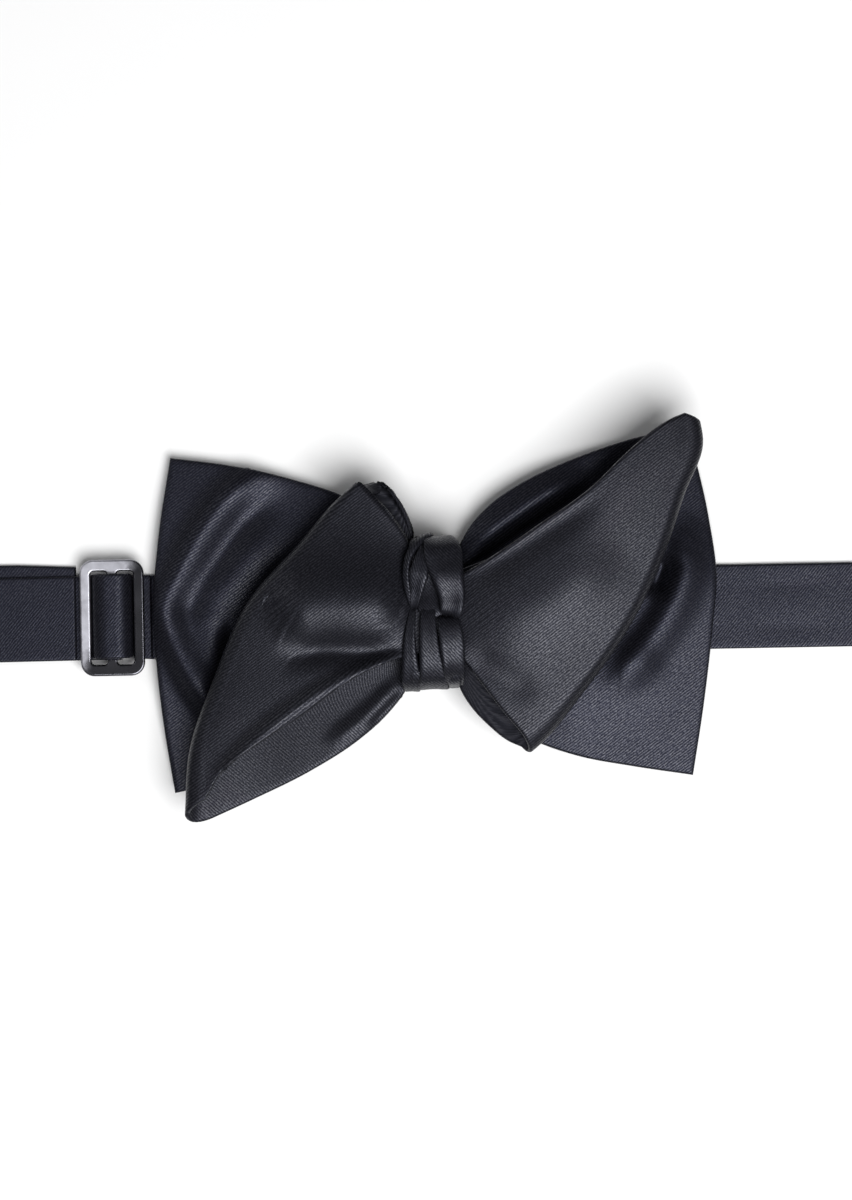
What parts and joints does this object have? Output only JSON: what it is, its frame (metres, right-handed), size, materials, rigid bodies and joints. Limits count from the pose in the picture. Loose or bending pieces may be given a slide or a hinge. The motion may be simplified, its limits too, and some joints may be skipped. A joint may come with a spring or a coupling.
{
  "type": "bow tie",
  "caption": "Black satin dress bow tie with a flat rear blade, an askew folded front bow, a knot, and an adjustable neckband with slider, hook and eye.",
  "frame": {"origin": "centre of the knot's back face, which rests on the table", "axes": "+X along the neckband towards the eye, +Y up the bow's height, +Z from the table to the bow's front"},
  "size_m": [0.3901, 0.0869, 0.0205],
  "materials": {
    "satin": "black satin twill",
    "band_satin": "black satin twill, cut as a band",
    "interlining": "black woven interlining",
    "thread": "black sewing thread",
    "dark_nickel": "dark nickel plate, polished, worn"
  },
  "bodies": {
    "bow": {"rear_blade_cover": "satin", "rear_blade_interlining": "interlining", "front_bow_cover": "satin", "front_bow_interlining": "interlining", "knot_wrap": "satin", "knot_padding": "interlining", "knot_seam_stitches": "thread", "neckband_left_cover": "band_satin", "neckband_left_interlining": "interlining", "neckband_right_cover": "band_satin", "neckband_right_interlining": "interlining", "eye_end_fold": "band_satin", "eye_bartack": "thread"},
    "slider": {"slider": "dark_nickel", "slider_bar_wrap": "band_satin", "band_over_slider": "band_satin", "slider_bartack": "thread"},
    "hook_carrier": {"hook_turn": "band_satin", "upper_run": "band_satin", "lower_run": "band_satin"},
    "hook": {"hook": "dark_nickel"},
    "eye": {"eye": "dark_nickel"}
  },
  "joints": [
    {"name": "slider_slide", "type": "slide", "parent": "bow", "child": "slider", "axis": [-1, 0, 0], "range_m": [0, 0.17], "deforming": ["neckband_left_cover", "neckband_left_interlining"]},
    {"name": "hook_run_slide", "type": "slide", "parent": "slider", "child": "hook_carrier", "axis": [1, 0, 0], "range_m": [0, 0.085], "deforming": ["upper_run", "lower_run"]},
    {"name": "hook_swing", "type": "hinge", "parent": "hook_carrier", "child": "hook", "pos_m": [-0.185, 0, 0.0019], "axis": [0, 1, 0], "range_deg": [-90, 90]},
    {"name": "eye_swing", "type": "hinge", "parent": "bow", "child": "eye", "pos_m": [0.185, 0, 0.0019], "axis": [0, -1, 0], "range_deg": [-90, 90]}
  ],
  "couplings": [
    {"joint": "hook_run_slide", "follows": "slider_slide", "ratio": 0.5}
  ]
}
